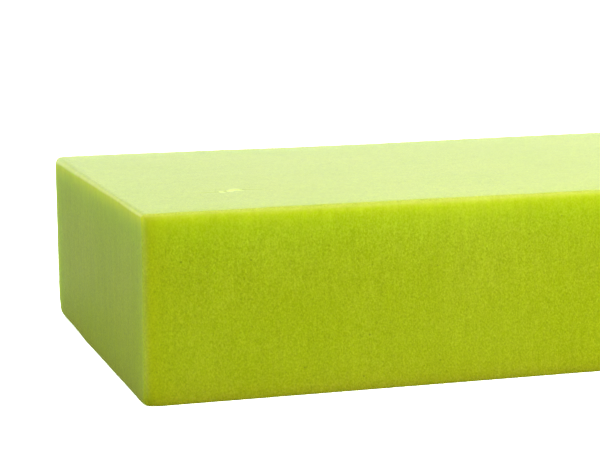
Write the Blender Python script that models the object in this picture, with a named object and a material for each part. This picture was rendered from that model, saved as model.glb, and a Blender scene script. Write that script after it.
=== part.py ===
"""Floral foam brick: one block of rigid open-cell foam, cut to a brick and used dry or soaked.

The block has no other pieces: florists push stems straight into the foam, and it rests in a tray.
Frame: origin at the middle of the underside, +X along the length, +Y across the width, +Z up.
"""

import bpy
import bmesh
from mathutils import Vector

# Driving dimensions, in metres.
LENGTH = 0.230
WIDTH = 0.110
HEIGHT = 0.040

# How far each kind of edge is rounded over. The foam crumbles where it is handled and stood on.
TOP_EDGE_RADIUS = 0.0012
BOTTOM_EDGE_RADIUS = 0.0009
UPRIGHT_EDGE_RADIUS = 0.0010
WORN_EDGE_RADIUS = 0.0040
EDGE_SEGMENTS = 6

FOAM_COLOUR = (0.42, 0.53, 0.02, 1.0)
FOAM_ROUGHNESS = 0.9


def clear_scene():
    for obj in list(bpy.data.objects):
        bpy.data.objects.remove(obj, do_unlink=True)


def foam_material():
    material = bpy.data.materials.new("floral_foam")
    material.use_nodes = True
    shader = material.node_tree.nodes["Principled BSDF"]
    shader.inputs["Base Color"].default_value = FOAM_COLOUR
    shader.inputs["Roughness"].default_value = FOAM_ROUGHNESS
    shader.inputs["Metallic"].default_value = 0.0
    return material


def edge_radius(middle):
    """The rounding of the edge whose middle point this is."""
    if abs(middle.z - HEIGHT / 2) < HEIGHT / 4:
        return UPRIGHT_EDGE_RADIUS
    if middle.z > HEIGHT / 2:
        return TOP_EDGE_RADIUS
    if middle.y > WIDTH / 4:
        return WORN_EDGE_RADIUS
    return BOTTOM_EDGE_RADIUS


def block_mesh():
    """A box standing on z = 0, each of its edges marked with its share of the largest rounding."""
    shape = bmesh.new()
    bmesh.ops.create_cube(shape, size=1.0)
    bmesh.ops.scale(shape, vec=Vector((LENGTH, WIDTH, HEIGHT)), verts=shape.verts)
    bmesh.ops.translate(shape, vec=Vector((0.0, 0.0, HEIGHT / 2)), verts=shape.verts)
    weight = shape.edges.layers.float.new("bevel_weight_edge")
    for edge in shape.edges:
        middle = (edge.verts[0].co + edge.verts[1].co) / 2
        edge[weight] = edge_radius(middle) / WORN_EDGE_RADIUS
    mesh = bpy.data.meshes.new("foam_brick")
    shape.to_mesh(mesh)
    shape.free()
    return mesh


def foam_brick():
    mesh = block_mesh()
    mesh.materials.append(foam_material())
    brick = bpy.data.objects.new("foam_brick", mesh)
    bpy.context.scene.collection.objects.link(brick)
    rounding = brick.modifiers.new("edge_rounding", "BEVEL")
    rounding.limit_method = "WEIGHT"
    rounding.width = WORN_EDGE_RADIUS
    rounding.segments = EDGE_SEGMENTS
    mesh.shade_smooth()
    mesh.set_sharp_from_angle(angle=0.6)
    return brick


clear_scene()
foam_brick()
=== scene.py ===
"""Looks for a brick of floral foam: the cut block, its stage, its light and its camera.

The visible block stands for the CAD solid. It has the same size and place, and adds what the cutting
wire and handling leave on real foam: worn and crumbling edges, faint waves, wire marks and one nick.
The mesh carries five marks, as attributes from 0 to 1, that the foam's material shows. Some are
painted light and shade: shade beside the upright edges, light under the ends' top edges, and partly
highlight on the pale edges and the torn nick.
"""

import math

import bpy
import numpy as np
from mathutils import Matrix, Vector


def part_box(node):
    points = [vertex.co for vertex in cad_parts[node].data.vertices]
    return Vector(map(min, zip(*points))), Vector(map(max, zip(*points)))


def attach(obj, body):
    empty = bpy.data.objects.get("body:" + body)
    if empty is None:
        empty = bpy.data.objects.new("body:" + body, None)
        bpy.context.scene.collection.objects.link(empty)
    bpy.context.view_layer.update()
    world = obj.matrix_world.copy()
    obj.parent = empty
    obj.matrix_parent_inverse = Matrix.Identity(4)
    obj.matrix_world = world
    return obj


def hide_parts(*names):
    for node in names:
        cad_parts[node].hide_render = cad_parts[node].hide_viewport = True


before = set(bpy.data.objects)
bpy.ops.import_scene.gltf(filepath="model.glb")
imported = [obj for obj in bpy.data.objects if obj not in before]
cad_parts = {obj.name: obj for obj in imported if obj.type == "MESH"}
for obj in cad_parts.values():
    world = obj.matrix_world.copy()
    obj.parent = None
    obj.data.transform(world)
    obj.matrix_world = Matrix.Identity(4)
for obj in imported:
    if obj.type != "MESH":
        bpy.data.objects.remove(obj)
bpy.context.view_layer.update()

MM = 0.001
X, Y, Z = 0, 1, 2

# The block, from the CAD solid that it stands for.
BLOCK_LOW, BLOCK_HIGH = (np.array(corner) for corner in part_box("foam_brick"))
CENTRE = (BLOCK_LOW + BLOCK_HIGH) / 2
HALF = (BLOCK_HIGH - BLOCK_LOW) / 2

# Rounding of the edges. The top edges of the ends grow rounder from the front to the back, and
# the worn edge is the lower back one.
TOP_RADIUS = 1.2 * MM
END_TOP_RADIUS = 0.8 * MM
END_TOP_GROWTH = 1.0 * MM
BOTTOM_RADIUS = 0.4 * MM
UPRIGHT_RADIUS = 1.2 * MM
WORN_RADIUS = 6.5 * MM
RADIUS_VARIATION = 0.3
RADIUS_WAVELENGTH = 14 * MM

# The lower edges and the feet of the upright ones are rounder towards the corners that the block stands on.
CORNER_EXTRA = 1.6
CORNER_REACH = 3.0 * MM

# The strips beside the edges that crumble: how wide and deep, and how much of it is left at the table.
CRUMBLE_WIDTH = 1.1 * MM
CRUMB_DEPTH = 0.06 * MM
CHIP_DEPTH = 0.12 * MM
LOW_CRUMBLE = 0.3

# The strips that handling pales, partly a painted highlight where the edges catch light: the shoulders
# of the long top edges, and less so the upright edges and the shoulders of the ends.
WEAR_HIGHLIGHT_WIDTH = 0.8 * MM
UPRIGHT_WEAR_HIGHLIGHT = 0.85
END_SHOULDER_WEAR_HIGHLIGHT = 0.05

# The long faces have painted shade beside their upright edges: darker and more olive there.
EDGE_SHADE_REACH = 5.0 * MM

# The end faces are yellower just under their top edges, where light comes through the foam: painted light.
LIT_REACH = 1.9 * MM
LIT_GROWTH = 1.5 * MM

# That light also washes out the grain of every upright face, over a deeper band.
WASHED_REACH = 5.0 * MM
WASHED_SHARE = 0.82

# The mesh: its lines are close together in the rim along the edges, and a flat step apart between.
RIM = 5.0 * MM
FIRST_GAP = 0.16 * MM
GAP_GROWTH = 1.28
FLAT_STEP = 1.1 * MM

# How often the search for the rounded surface halves its range, and the step that finds its slope.
HALVINGS = 24
SLOPE_STEP = 0.02 * MM

# Smooth noise reads a cube of random values, this many each way, from this place on.
NOISE_COUNT = 32
NOISE_START = 100.0

# Heights of the slow waves, the pulled lines, the fine unevenness and the ribs on the cut faces.
WAVE_HEIGHT = 0.06 * MM
PULLED_HEIGHT = 0.02 * MM
FINE_HEIGHT = 0.02 * MM
RIB_HEIGHT = 0.012 * MM

# The top face rises a little to the back, in a long shallow wave.
NEAR_RISE = 0.24 * MM
BACK_RISE = 0.09 * MM
SAG_DEPTH = 0.10 * MM
SAG_LENGTH = 133 * MM
SAG_CREST = 10 * MM

# The top face droops a little over its long front edge.
DROOP = 0.22 * MM
DROOP_REACH = 3.2 * MM

# The cut of the left end leans in a little towards its near top corner.
LEAN = 0.30 * MM
LEAN_REACH = 15 * MM

# The underside lifts off the table a little towards the worn back edge.
LIFT_HEIGHT = 0.45 * MM
LIFT_START = 70 * MM
LIFT_END = 90 * MM

# The nick in the top face: a shallow slit, nearly along the block, that bows to the back past its
# middle. It is torn open in two flecks, each from one part of its length to another, that carry a
# painted highlight. Elsewhere the slit is only this share as open.
NICK_START = np.array((17.0, 26.5)) * MM
NICK_END = np.array((34.6, 28.5)) * MM
NICK_BOW = 1.9 * MM
NICK_BOW_PLACE = 0.60
NICK_BOW_SPAN = 0.11
NICK_FLECKS = ((0.35, 0.425), (0.46, 0.68))
FLECK_SOFTNESS = 0.02
SLIT_SHARE = 0.45
NICK_DEPTH = 0.12 * MM
NICK_WIDTH = 0.65 * MM
NICK_LIP = 0.05 * MM
TORN_HIGHLIGHT_WIDTH = 1.7 * MM

# Extra mesh lines that hold the nick: how far apart, the part of its length, and the reach to its sides.
NICK_LINE_GAP = 0.34 * MM
NICK_LINE_PART = (0.33, 0.69)
NICK_LINE_REACH = 2.9 * MM

# Colours of the foam, linear. The olive and the open cell are painted shade, the lit-through yellow is
# painted light, and the pale edge and the torn foam are partly painted highlight.
LIME = (0.418, 0.520, 0.001)
YELLOW_LIME = (0.480, 0.545, 0.028)
PALE_EDGE = (0.530, 0.580, 0.120)
OPEN_CELL_SHADE = (0.180, 0.230, 0.005)
TORN_FOAM_HIGHLIGHT = (0.670, 0.810, 0.145)
SHADE_OLIVE = (0.378, 0.416, 0.001)
LIT_THROUGH = (0.630, 0.695, 0.001)

# Sizes of the details in the foam's surface.
GRAIN_SIZE = 0.36 * MM
CELL_SIZE = 0.40 * MM
RAGGED_SIZE = 0.8 * MM
STREAK_SIZE = 1.1 * MM
MOTTLE_SIZE = 1.9 * MM
BROAD_SIZE = 28 * MM

# How much those details change the brightness.
GRAIN_SHARE = 0.75
CELL_SHARE = 0.16
STREAK_SHARE = 0.20
MOTTLE_SHARE = 0.15
BROAD_SHARE = 0.08

# How far apart the pinholes and the larger pores are, and how much of an open cell's painted shade they
# show.
PINHOLE_GAP = 1.3 * MM
PINHOLE_SHARE = 0.22
PORE_GAP = 5.0 * MM
PORE_SHARE = 0.6

# How much light the floor throws back, how bright that looks to the camera, and how brightly it glows.
FLOOR_GREY = 0.45
FLOOR_EXPOSED = 4.0
FLOOR_GLOW = 0.10

# Half of the floor's width.
FLOOR_HALF = 5.0

# Air under the block, for the dark line of its contact with the floor.
FLOOR_GAP = 0.08 * MM

# The even light from all round.
SKY_COLOUR = (0.92, 1.0, 0.94, 1.0)
SKY_STRENGTH = 0.63

# The camera, from the near lower left corner of the block.
CAMERA_OFFSET = Vector((-79.3, -397.0, 97.6)) * MM
CAMERA_AZIMUTH = math.radians(15.881)
CAMERA_ELEVATION = math.radians(8.476)
CAMERA_ROLL = math.radians(-0.810)
CAMERA_LENS = 120.5


# ---- Shape ----------------------------------------------------------------------------------

def smooth_noise(points, size, seed):
    """Smooth random values of about -1 to 1, that change over about this size."""
    table = np.random.default_rng(seed).uniform(-1, 1, (NOISE_COUNT,) * 3)
    spot = points / size + NOISE_START
    cell = np.floor(spot).astype(int)
    part = spot - cell
    part = part * part * (3 - 2 * part)
    total = np.zeros(len(points))
    for corner in np.ndindex(2, 2, 2):
        share = np.prod(np.where(corner, part, 1 - part), axis=1)
        at = (cell + corner) % NOISE_COUNT
        total += share * table[at[:, 0], at[:, 1], at[:, 2]]
    return total


def step_between(value, start, end):
    """0 before start, 1 after end, and smooth between them."""
    part = np.clip((value - start) / (end - start), 0, 1)
    return part * part * (3 - 2 * part)


def from_corner(points):
    """The same points, measured from the block's near lower left corner."""
    return points - BLOCK_LOW


def lattice_lines(length):
    """Lines from 0 to length: close together at both ends, then about a flat step apart."""
    rim = [0.0]
    gap = FIRST_GAP
    while rim[-1] < RIM:
        rim.append(rim[-1] + gap)
        gap = min(gap * GAP_GROWTH, FLAT_STEP)
    count = max(1, round((length - 2 * rim[-1]) / FLAT_STEP))
    middle = np.linspace(rim[-1], length - rim[-1], count + 1)[1:-1]
    return np.array(sorted([*rim, *middle, *(length - np.array(rim))]))


def shell_of_lattice(lines):
    """Vertices on the outside of a lattice of lines, and the quads that close it."""
    counts = [len(axis) for axis in lines]
    index = np.full(counts, -1)
    outside = np.zeros(counts, bool)
    for axis in range(3):
        ends = [slice(None)] * 3
        ends[axis] = [0, -1]
        outside[tuple(ends)] = True
    places = np.argwhere(outside)
    index[outside] = np.arange(len(places))
    vertices = np.stack([lines[axis][places[:, axis]] for axis in range(3)], axis=1)
    quads = []
    for axis in range(3):
        for end in (0, -1):
            sheet = np.take(index, end, axis=axis)
            if (axis == Y) == (end == -1):
                sheet = sheet.T
            a, b, c, d = sheet[:-1, :-1], sheet[1:, :-1], sheet[1:, 1:], sheet[:-1, 1:]
            quads.append(np.stack([a, b, c, d], axis=-1).reshape(-1, 4))
    return vertices, np.concatenate(quads)


def edge_radius(points, along, seed):
    """The rounding of the edges that run along this axis, nearest to each point."""
    upper = points[:, Z] > CENTRE[Z]
    if along == Z:
        radius = np.full(len(points), UPRIGHT_RADIUS)
    else:
        end_top = END_TOP_RADIUS + END_TOP_GROWTH * from_corner(points)[:, Y] / (2 * HALF[Y])
        radius = np.where(upper, TOP_RADIUS if along == X else end_top, BOTTOM_RADIUS)
        if along == X:
            radius = np.where((points[:, Y] > CENTRE[Y]) & ~upper, WORN_RADIUS, radius)
    wander = smooth_noise(points, RADIUS_WAVELENGTH, seed)
    to_corner = HALF[along] - np.abs(points[:, along] - CENTRE[along])
    standing = ~upper & (radius < WORN_RADIUS)
    corner = CORNER_EXTRA * np.exp(-(to_corner / CORNER_REACH) ** 2) * standing
    return radius * (1 + RADIUS_VARIATION * wander + corner)


def outside_by(points):
    """How far each point is outside the rounded block, negative inside."""
    offset = np.abs(points - CENTRE)
    distance = np.full(len(points), -1.0)
    for along in range(3):
        u, v = [axis for axis in range(3) if axis != along]
        radius = edge_radius(points, along, seed=20 + along)
        over_u = offset[:, u] - (HALF[u] - radius)
        over_v = offset[:, v] - (HALF[v] - radius)
        corner = np.hypot(np.maximum(over_u, 0), np.maximum(over_v, 0))
        section = corner + np.minimum(np.maximum(over_u, over_v), 0) - radius
        distance = np.maximum(distance, section)
    return distance


def onto_rounded_block(points):
    """Moves points on the sharp box onto the rounded block, and gives the way that each one faces."""
    core = np.clip(points, BLOCK_LOW + RIM, BLOCK_HIGH - RIM)
    ray = points - core
    near, far = np.zeros(len(points)), np.ones(len(points))
    for _ in range(HALVINGS):
        middle = (near + far) / 2
        inside = outside_by(core + ray * middle[:, None]) < 0
        near = np.where(inside, middle, near)
        far = np.where(inside, far, middle)
    surface = core + ray * near[:, None]
    steps = SLOPE_STEP * np.eye(3)
    slope = [outside_by(surface + step) - outside_by(surface - step) for step in steps]
    normal = np.stack(slope, axis=1)
    return surface, normal / np.linalg.norm(normal, axis=1)[:, None]


def edge_closeness(points, width):
    """1 on an edge of the block, falling to 0 over this width beside it."""
    inside = np.sort(HALF - np.abs(points - CENTRE), axis=1)
    return np.exp(-(inside[:, 1] / width) ** 2)


def edge_wear_and_highlight(points, normal):
    """How far handling has paled each point, partly a painted highlight where the edges catch light: most on
    the long top shoulders, and not at all at the table.
    """
    shoulder = step_between(normal[:, Z], 0.25, 0.85) * (1 - step_between(normal[:, Z], 0.98, 0.999))
    long_edge = 1 - (1 - END_SHOULDER_WEAR_HIGHLIGHT) * step_between(np.abs(normal[:, X]), 0.1, 0.4)
    above_table = step_between(from_corner(points)[:, Z], 0.5 * MM, 3 * MM)
    upright = edge_closeness(points, WEAR_HIGHLIGHT_WIDTH) * (1 - step_between(np.abs(normal[:, Z]), 0.2, 0.6))
    return np.maximum(shoulder * long_edge, UPRIGHT_WEAR_HIGHLIGHT * upright * above_table)


def edge_shade(points, normal):
    """How much painted shade each point has, darker and more olive: most beside the upright edges of the
    long faces, and none on the others.
    """
    from_end = HALF[X] - np.abs(points[:, X] - CENTRE[X])
    return np.exp(-from_end / EDGE_SHADE_REACH) * step_between(np.abs(normal[:, Y]), 0.3, 0.9)


def lit_through(points, normal):
    """How much painted light each point has, as a yellower tone: most along the top edges of the end faces.
    """
    below_top = BLOCK_HIGH[Z] - points[:, Z]
    reach = LIT_REACH + LIT_GROWTH * from_corner(points)[:, Y] / (2 * HALF[Y])
    return np.exp(-(below_top / reach) ** 2) * step_between(np.abs(normal[:, X]), 0.42, 0.98)


def washed_out(points, normal):
    """How far the grain is washed out: most on the upright faces just under the top edges."""
    below_top = BLOCK_HIGH[Z] - points[:, Z]
    return np.exp(-(below_top / WASHED_REACH) ** 2) * (1 - step_between(np.abs(normal[:, Z]), 0.6, 0.98))


def top_rise(points):
    """How far the block stands taller than its CAD solid: all of it at the top, and none at the table."""
    place = from_corner(points)
    part = place / (2 * HALF)
    crest = np.cos(2 * math.pi * (place[:, X] - SAG_CREST) / SAG_LENGTH)
    droop = DROOP * np.exp(-place[:, Y] / DROOP_REACH)
    return part[:, Z] * (NEAR_RISE + part[:, Y] * (BACK_RISE + SAG_DEPTH * crest) - droop)


def waves(points, normal):
    """Height of the slow waves and the fine unevenness that cutting leaves, along the normal."""
    slow = WAVE_HEIGHT * smooth_noise(points, size=42 * MM, seed=1) * (normal[:, Z] > -0.5)
    along_block = points * np.array((0.12, 1, 1))
    pulled = PULLED_HEIGHT * smooth_noise(along_block, size=10 * MM, seed=8) * np.maximum(normal[:, Z], 0)
    fine = FINE_HEIGHT * smooth_noise(points, size=2.1 * MM, seed=2)
    return slow + pulled + fine


def wire_marks(points, normal):
    """Faint ribs that the cutting wire leaves on the upright faces."""
    upright = 1 - np.abs(normal[:, Z])
    stretched = points * np.array((1, 1, 0.04))
    ribs = smooth_noise(stretched, size=2.4 * MM, seed=3) + smooth_noise(stretched, size=5.5 * MM, seed=4)
    return RIB_HEIGHT * ribs * upright


def crumble(points):
    """Depth of the crumbs lost along the edges."""
    grain = np.abs(smooth_noise(points, size=1.6 * MM, seed=5))
    chips = step_between(smooth_noise(points, size=3.2 * MM, seed=6), 0.5, 0.9)
    share = LOW_CRUMBLE + (1 - LOW_CRUMBLE) * step_between(from_corner(points)[:, Z], 1 * MM, 5 * MM)
    return share * edge_closeness(points, CRUMBLE_WIDTH) * (CRUMB_DEPTH * grain + CHIP_DEPTH * chips)


def nick_place(points):
    """Where each point is along the nick, from 0 to 1, and how far to its side."""
    place = from_corner(points)[:, :2]
    way = NICK_END - NICK_START
    length = np.linalg.norm(way)
    along = (place - NICK_START) @ way / length ** 2
    side = (place - NICK_START) @ np.array((-way[1], way[0])) / length
    bow = NICK_BOW * np.exp(-((along - NICK_BOW_PLACE) / NICK_BOW_SPAN) ** 2)
    return along, side - bow


def nick_strength(points, normal):
    """How open the slit is at each point of the top face, from 0 to 1, how torn, which is where its
    highlight is painted, and how far aside it is.
    """
    along, side = nick_place(points)
    torn = np.zeros(len(points))
    for start, end in NICK_FLECKS:
        begun = step_between(along, start - FLECK_SOFTNESS, start + FLECK_SOFTNESS)
        ended = step_between(along, end - FLECK_SOFTNESS, end + FLECK_SOFTNESS)
        torn = np.maximum(torn, begun * (1 - ended))
    tapered = step_between(along, 0.02, 0.14) * (1 - step_between(along, 0.86, 1.0))
    flat = normal[:, Z] > 0.5
    return tapered * (SLIT_SHARE + (1 - SLIT_SHARE) * torn) * flat, torn * flat, side


def nick_height(points, normal):
    """The slit of the nick, and the small lip that tearing raised beside it."""
    opened, _, side = nick_strength(points, normal)
    slit = np.exp(-(side / NICK_WIDTH) ** 2)
    lip = np.exp(-((side - 2 * NICK_WIDTH) / NICK_WIDTH) ** 2)
    return opened * (NICK_LIP * lip - NICK_DEPTH * slit)


def torn_foam_highlight(points, normal):
    """How torn each point is, and so how much painted highlight it has: 1 in the middle of each fleck that
    the nick laid bare.
    """
    _, torn, side = nick_strength(points, normal)
    return torn * np.exp(-(side / TORN_HIGHLIGHT_WIDTH) ** 2)


def end_lean(points):
    """How far the near top corner of the left end lies further in than a square cut."""
    place = from_corner(points)
    high = step_between(place[:, Z], 12 * MM, 34 * MM)
    near = (1 - place[:, Y] / (2 * HALF[Y])) ** 2
    return LEAN * high * near * np.exp(-place[:, X] / LEAN_REACH)


def underside_lift(points):
    """How far the worn back of the underside has lifted off the table."""
    place = from_corner(points)
    lift = LIFT_HEIGHT * step_between(place[:, Y], LIFT_START, LIFT_END)
    return lift * (1 - step_between(place[:, Z], 0, 12 * MM))


def nick_lines(axis):
    """Extra lines across this axis, close enough together to hold the nick."""
    if axis == X:
        first, last = (NICK_START[X] + part * (NICK_END[X] - NICK_START[X]) for part in NICK_LINE_PART)
        return np.arange(first, last, NICK_LINE_GAP)
    middle = (NICK_START[Y] + NICK_END[Y] + NICK_BOW) / 2
    return np.arange(middle - NICK_LINE_REACH, middle + NICK_LINE_REACH, NICK_LINE_GAP)


def clear_of(lines, extra):
    """The lines that aren't on top of an extra one."""
    gap = np.abs(lines[:, None] - extra[None, :]).min(axis=1)
    return lines[gap > 0.6 * NICK_LINE_GAP]


def block_lattice():
    """The sharp box of the CAD solid, as vertices and quads, with the mesh lines that its details need."""
    lines = [lattice_lines(length) for length in 2 * HALF]
    for axis in (X, Y):
        extra = nick_lines(axis)
        lines[axis] = np.sort(np.concatenate([clear_of(lines[axis], extra), extra]))
    box, quads = shell_of_lattice(lines)
    return box + BLOCK_LOW, quads


def block_marks(points, normal):
    """The marks that the material shows in its colour or its grain, each from 0 to 1."""
    return {
        "wear_and_highlight": edge_wear_and_highlight(points, normal),
        "edge_shade": edge_shade(points, normal),
        "lit_through": lit_through(points, normal),
        "washed_out": washed_out(points, normal),
        "torn": torn_foam_highlight(points, normal),
    }


def shaped(points, normal):
    """The points of the rounded block, moved to where cutting and handling left the surface."""
    height = waves(points, normal) + wire_marks(points, normal) + nick_height(points, normal)
    points = points + normal * (height - crumble(points))[:, None]
    points[:, X] += end_lean(points)
    points[:, Z] += top_rise(points) + underside_lift(points)
    points[:, Z] = np.maximum(points[:, Z], BLOCK_LOW[Z])
    return points


def foam_block():
    """The visible block: the CAD solid's shape with the marks of cutting and handling."""
    box, quads = block_lattice()
    points, normal = onto_rounded_block(box)
    mesh = bpy.data.meshes.new("cut_foam_block")
    mesh.from_pydata(shaped(points, normal).tolist(), [], quads.tolist())
    for name, values in block_marks(points, normal).items():
        layer = mesh.attributes.new(name, "FLOAT", "POINT")
        layer.data.foreach_set("value", values.astype(np.float32))
    mesh.shade_smooth()
    block = bpy.data.objects.new("cut_foam_block", mesh)
    bpy.context.scene.collection.objects.link(block)
    return block


# ---- Material -------------------------------------------------------------------------------

class Nodes:
    """Short ways to add the shader nodes used here to one material."""

    def __init__(self, material):
        material.use_nodes = True
        self.tree = material.node_tree
        self.shader = self.tree.nodes["Principled BSDF"]
        self.place = self.add("ShaderNodeTexCoord").outputs["Object"]

    def add(self, kind, **settings):
        node = self.tree.nodes.new(kind)
        for name, value in settings.items():
            setattr(node, name, value)
        return node

    def put(self, socket, value):
        if isinstance(value, bpy.types.NodeSocket):
            self.tree.links.new(value, socket)
        else:
            socket.default_value = value

    def math(self, operation, *values):
        node = self.add("ShaderNodeMath", operation=operation)
        for socket, value in zip(node.inputs, values):
            self.put(socket, value)
        return node.outputs[0]

    def stretched(self, x, y, z):
        node = self.add("ShaderNodeVectorMath", operation="MULTIPLY")
        self.put(node.inputs[0], self.place)
        node.inputs[1].default_value = (x, y, z)
        return node.outputs[0]

    def noise(self, size, detail=2.0, roughness=0.5, vector=None):
        """Smooth noise from 0 to 1 whose blobs are about this size."""
        node = self.add("ShaderNodeTexNoise")
        self.put(node.inputs["Vector"], vector or self.place)
        node.inputs["Scale"].default_value = 1 / size
        node.inputs["Detail"].default_value = detail
        node.inputs["Roughness"].default_value = roughness
        return node.outputs["Fac"]

    def cells(self, size):
        """Distance to the middle of the nearest cell, in cells of about this size."""
        node = self.add("ShaderNodeTexVoronoi", feature="F1")
        self.put(node.inputs["Vector"], self.place)
        node.inputs["Scale"].default_value = 1 / size
        return node.outputs["Distance"]

    def ramp(self, value, low, high, to_low=0.0, to_high=1.0):
        node = self.add("ShaderNodeMapRange")
        for name, number in (("Value", value), ("From Min", low), ("From Max", high),
                             ("To Min", to_low), ("To Max", to_high)):
            self.put(node.inputs[name], number)
        return node.outputs[0]

    def mix(self, share, first, second):
        node = self.add("ShaderNodeMix", data_type="RGBA")
        self.put(node.inputs["Factor"], share)
        for socket, colour in ((node.inputs["A"], first), (node.inputs["B"], second)):
            self.put(socket, colour if isinstance(colour, bpy.types.NodeSocket) else (*colour, 1.0))
        return node.outputs["Result"]

    def scaled(self, colour, value):
        node = self.add("ShaderNodeVectorMath", operation="SCALE")
        self.put(node.inputs[0], colour)
        self.put(node.inputs["Scale"], value)
        return node.outputs[0]

    def attribute(self, name):
        return self.add("ShaderNodeAttribute", attribute_name=name).outputs["Fac"]


def varied(nodes, parts):
    """1 plus each 0-to-1 value's swing about its middle, times its amount."""
    total = 1.0
    for value, amount in parts:
        total = nodes.math("MULTIPLY_ADD", nodes.math("SUBTRACT", value, 0.5), amount, total)
    return total


def foam_details(nodes):
    """The details that the foam's colour and relief share, and how sharp its grain is at each place."""
    return {
        "grain": nodes.noise(GRAIN_SIZE, detail=3.0, roughness=0.65, vector=nodes.stretched(1, 1, 0.75)),
        "mottle": nodes.noise(MOTTLE_SIZE, detail=2.0),
        "broad": nodes.noise(BROAD_SIZE, detail=3.0),
        "streaks": nodes.noise(STREAK_SIZE, detail=2.0, vector=nodes.stretched(1, 1, 0.07)),
        "cells": nodes.cells(CELL_SIZE),
        "sharpness": nodes.math("MULTIPLY_ADD", nodes.attribute("washed_out"), -WASHED_SHARE, 1.0),
    }


def marked_colour(nodes, details):
    """The foam's lime, with the tones of the mesh's marks over it, some of them painted light and shade."""
    hue = nodes.math("ADD", nodes.math("MULTIPLY", details["broad"], 0.3), details["grain"])
    colour = nodes.mix(nodes.ramp(hue, 0.53, 0.93), LIME, YELLOW_LIME)
    # Painted shade: darker and more olive beside the upright edges of the long faces.
    colour = nodes.mix(nodes.attribute("edge_shade"), colour, SHADE_OLIVE)
    # Painted light: yellower just under the top edges of the end faces.
    colour = nodes.mix(nodes.attribute("lit_through"), colour, LIT_THROUGH)
    # Pales the edges: wear, and partly a painted highlight where they catch light.
    patchy = nodes.ramp(details["mottle"], 0.3, 0.7, 0.45, 0.58)
    colour = nodes.mix(nodes.math("MULTIPLY", nodes.attribute("wear_and_highlight"), patchy), colour, PALE_EDGE)
    # The torn flecks are paler: partly torn foam, partly a painted highlight.
    ragged = nodes.math("SUBTRACT", nodes.noise(RAGGED_SIZE, detail=3.0), 0.5)
    ragged = nodes.math("MULTIPLY", ragged, 0.9)
    torn = nodes.ramp(nodes.math("ADD", nodes.attribute("torn"), ragged), 0.35, 0.70)
    return nodes.mix(torn, colour, TORN_FOAM_HIGHLIGHT)


def grain_brightness(nodes, details):
    """How bright each place is against the rest. The finest part fades where the grain is washed out."""
    cell_walls = nodes.ramp(details["cells"], 0.0, 0.8)
    fine = varied(nodes, ((details["grain"], GRAIN_SHARE), (cell_walls, CELL_SHARE)))
    fine = nodes.math("MULTIPLY_ADD", nodes.math("SUBTRACT", fine, 1.0), details["sharpness"], 1.0)
    coarse = varied(nodes, ((details["mottle"], MOTTLE_SHARE), (details["streaks"], STREAK_SHARE),
                            (details["broad"], BROAD_SHARE)))
    return nodes.math("SUBTRACT", nodes.math("ADD", fine, coarse), 1.0)


def foam_pinholes(nodes, details):
    """How much of an open cell, painted dark for the shade inside it, shows at each place, in the small
    holes.
    """
    holes = nodes.ramp(nodes.cells(PINHOLE_GAP), 0.10, 0.26, 1.0, 0.0)
    return nodes.math("MULTIPLY", nodes.math("MULTIPLY", holes, PINHOLE_SHARE), details["sharpness"])


def foam_pores(nodes):
    """How much of an open cell, painted dark for the shade inside it, shows at each place, in the few larger
    pores.
    """
    holes = nodes.ramp(nodes.cells(PORE_GAP), 0.030, 0.055, 1.0, 0.0)
    return nodes.math("MULTIPLY", holes, PORE_SHARE)


def foam_relief(nodes, details, pinholes):
    """The bumped normal of the grain, the cells and the pinholes."""
    relief = nodes.math("MULTIPLY_ADD", details["cells"], 0.5, details["grain"])
    relief = nodes.math("MULTIPLY", nodes.math("SUBTRACT", relief, pinholes), details["sharpness"])
    bump = nodes.add("ShaderNodeBump")
    bump.inputs["Strength"].default_value = 0.45
    bump.inputs["Distance"].default_value = 0.12 * MM
    nodes.put(bump.inputs["Height"], relief)
    return bump.outputs["Normal"]


def foam_material():
    """Cut floral foam: a fine open-cell grain over lime, with light that sinks into it."""
    material = bpy.data.materials.new("cut_floral_foam")
    nodes = Nodes(material)
    details = foam_details(nodes)
    pinholes = foam_pinholes(nodes, details)
    open_cell_shade = nodes.math("MAXIMUM", pinholes, foam_pores(nodes))
    colour = nodes.scaled(marked_colour(nodes, details), grain_brightness(nodes, details))
    # The holes get painted shade: the darker colour of an open cell.
    colour = nodes.mix(open_cell_shade, colour, OPEN_CELL_SHADE)
    nodes.put(nodes.shader.inputs["Base Color"], colour)
    nodes.put(nodes.shader.inputs["Roughness"], nodes.ramp(details["grain"], 0.2, 0.8, 0.30, 0.38))
    nodes.put(nodes.shader.inputs["Normal"], foam_relief(nodes, details, pinholes))
    nodes.shader.inputs["IOR"].default_value = 1.16
    nodes.shader.inputs["Subsurface Weight"].default_value = 0.8
    nodes.shader.inputs["Subsurface Radius"].default_value = (0.75, 1.1, 0.4)
    nodes.shader.inputs["Subsurface Scale"].default_value = 24 * MM
    return material


# ---- Stage, light and camera ----------------------------------------------------------------

def floor_material():
    """A pale light table: it fills the shadow round the block, and is overexposed to the camera."""
    material = bpy.data.materials.new("studio_floor")
    nodes = Nodes(material)
    card = nodes.add("ShaderNodeBsdfDiffuse")
    seen = nodes.add("ShaderNodeLightPath").outputs["Is Camera Ray"]
    nodes.put(card.inputs["Color"], nodes.mix(seen, (FLOOR_GREY,) * 3, (FLOOR_EXPOSED,) * 3))
    glow = nodes.add("ShaderNodeEmission")
    glow.inputs["Strength"].default_value = FLOOR_GLOW
    both = nodes.add("ShaderNodeAddShader")
    nodes.put(both.inputs[0], card.outputs["BSDF"])
    nodes.put(both.inputs[1], glow.outputs["Emission"])
    nodes.put(nodes.tree.nodes["Material Output"].inputs["Surface"], both.outputs["Shader"])
    return material


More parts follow.
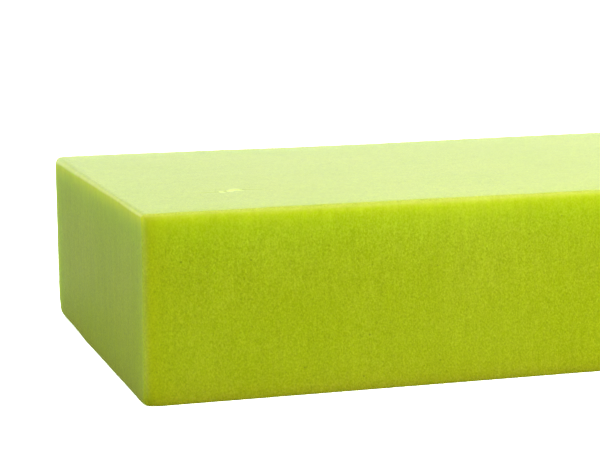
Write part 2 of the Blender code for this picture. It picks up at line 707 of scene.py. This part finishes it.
def floor():
    """A wide plain floor just under the block."""
    level = BLOCK_LOW[Z] - FLOOR_GAP
    corners = [(FLOOR_HALF * x, FLOOR_HALF * y, level) for x, y in ((-1, -1), (1, -1), (1, 1), (-1, 1))]
    mesh = bpy.data.meshes.new("studio_floor")
    mesh.from_pydata(corners, [], [(0, 1, 2, 3)])
    mesh.materials.append(floor_material())
    card = bpy.data.objects.new("studio_floor", mesh)
    bpy.context.scene.collection.objects.link(card)


def softbox(name, direction, distance, width, height, brightness, colour):
    """A soft panel of light that faces the block from this way. Its brightness is by area."""
    toward = Vector(direction).normalized()
    light = bpy.data.lights.new(name, "AREA")
    light.shape = "RECTANGLE"
    light.size = width
    light.size_y = height
    light.color = colour
    light.energy = brightness * math.pi * width * height
    lamp = bpy.data.objects.new(name, light)
    lamp.location = Vector(CENTRE) + toward * distance
    lamp.rotation_euler = toward.to_track_quat("Z", "Y").to_euler()
    bpy.context.scene.collection.objects.link(lamp)


def lights():
    """The key light, the panel that the top face mirrors, and a faint fill on the left end."""
    softbox("key_light", direction=(0.60, -0.60, 0.75), distance=0.6, width=0.5, height=0.5,
            brightness=4.28, colour=(1.05, 1.0, 0.98))
    softbox("backdrop_light", direction=(0.27, 0.96, 0.17), distance=1.3, width=2.6, height=0.7,
            brightness=1.54, colour=(0.93, 1.0, 1.14))
    softbox("left_fill", direction=(-1.0, 0.3, 0.35), distance=1.4, width=1.0, height=1.0,
            brightness=0.25, colour=(0.4, 1.0, 0.9))


def surroundings():
    """Even soft light from all round."""
    world = bpy.data.worlds.new("studio")
    bpy.context.scene.world = world
    world.use_nodes = True
    sky = world.node_tree.nodes["Background"]
    sky.inputs["Color"].default_value = SKY_COLOUR
    sky.inputs["Strength"].default_value = SKY_STRENGTH
    bpy.context.scene.view_settings.view_transform = "Standard"


def camera():
    """The camera at the photograph's place and angle."""
    data = bpy.data.cameras.new("camera")
    data.lens = CAMERA_LENS
    data.clip_start = 0.01
    eye = bpy.data.objects.new("camera", data)
    turn = Matrix.Rotation(-CAMERA_AZIMUTH, 4, "Z")
    tilt = Matrix.Rotation(math.pi / 2 - CAMERA_ELEVATION, 4, "X")
    roll = Matrix.Rotation(CAMERA_ROLL, 4, "Z")
    eye.matrix_world = Matrix.Translation(Vector(BLOCK_LOW) + CAMERA_OFFSET) @ turn @ tilt @ roll
    bpy.context.scene.collection.objects.link(eye)
    bpy.context.scene.camera = eye


block = foam_block()
block.data.materials.append(foam_material())
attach(block, "root")
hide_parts("foam_brick")
floor()
lights()
surroundings()
camera()
